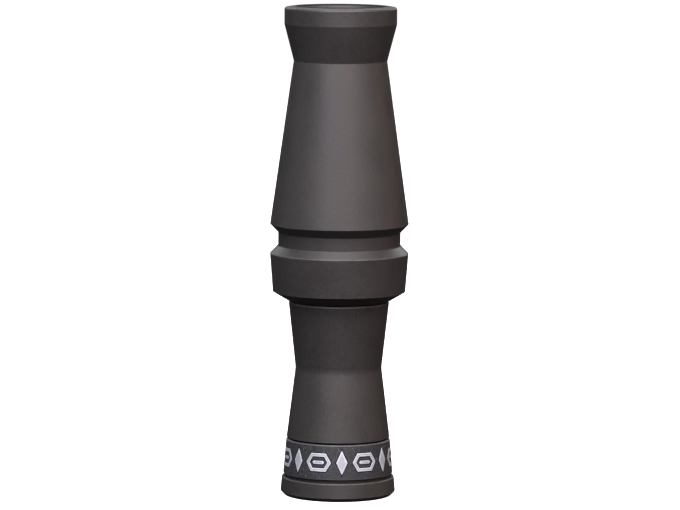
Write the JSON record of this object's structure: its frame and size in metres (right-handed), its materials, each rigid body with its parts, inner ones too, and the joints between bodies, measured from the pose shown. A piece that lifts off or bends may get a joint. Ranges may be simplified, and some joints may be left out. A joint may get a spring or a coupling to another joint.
{
  "type": "duck call",
  "caption": "Turned waterfowl call: barrel with flared mouthpiece, waisted insert with patterned band, tone board with clamped reeds and tenon seals.",
  "frame": {"origin": "centre of the exhaust end's foot, on the call's axis", "axes": "+Z along the call's axis, from the exhaust end to the mouthpiece; -Y is the side that the reeds face"},
  "size_m": [0.0382, 0.0382, 0.1346],
  "materials": {
    "call_body": "bead-blasted charcoal acrylic",
    "band_metal": "black anodised, finely mottled",
    "band_marks": "bright engraved marks",
    "board": "satin milled",
    "reed_film": "translucent polyester film",
    "wedge_cork": "fine agglomerated cork",
    "seal_rubber": "smooth moulded"
  },
  "bodies": {
    "insert": {"insert_body": "call_body", "end_ring": "call_body", "band": "band_metal", "tone_board": "board"},
    "seals": {"o_ring_lower": "seal_rubber", "o_ring_upper": "seal_rubber"},
    "barrel": {"barrel": "call_body"},
    "wedge": {"wedge": "wedge_cork"},
    "reed_lower": {"reed_lower": "reed_film"},
    "reed_upper": {"reed_upper": "reed_film"}
  },
  "joints": [
    {"name": "barrel_turn", "type": "hinge", "parent": "insert", "child": "seals", "pos_m": [0, 0, 0.0584], "axis": [0, 0, 1], "continuous": true},
    {"name": "barrel_pull", "type": "slide", "parent": "seals", "child": "barrel", "axis": [0, 0, 1], "range_m": [0, 0.065]},
    {"name": "wedge_pull", "type": "slide", "parent": "insert", "child": "wedge", "axis": [0, 0, 1], "range_m": [0, 0.016]},
    {"name": "reed_flex", "type": "hinge", "parent": "wedge", "child": "reed_lower", "pos_m": [0, -0.00135, 0.0755], "axis": [-1, 0, 0], "range_deg": [0, 1.8], "stiffness_Nm_per_rad": 0.009},
    {"name": "reed_upper_flex", "type": "hinge", "parent": "wedge", "child": "reed_upper", "pos_m": [0, -0.00135, 0.0755], "axis": [-1, 0, 0], "range_deg": [0, 1.8], "stiffness_Nm_per_rad": 0.009}
  ],
  "couplings": [
    {"joint": "reed_upper_flex", "follows": "reed_flex", "ratio": 1}
  ]
}
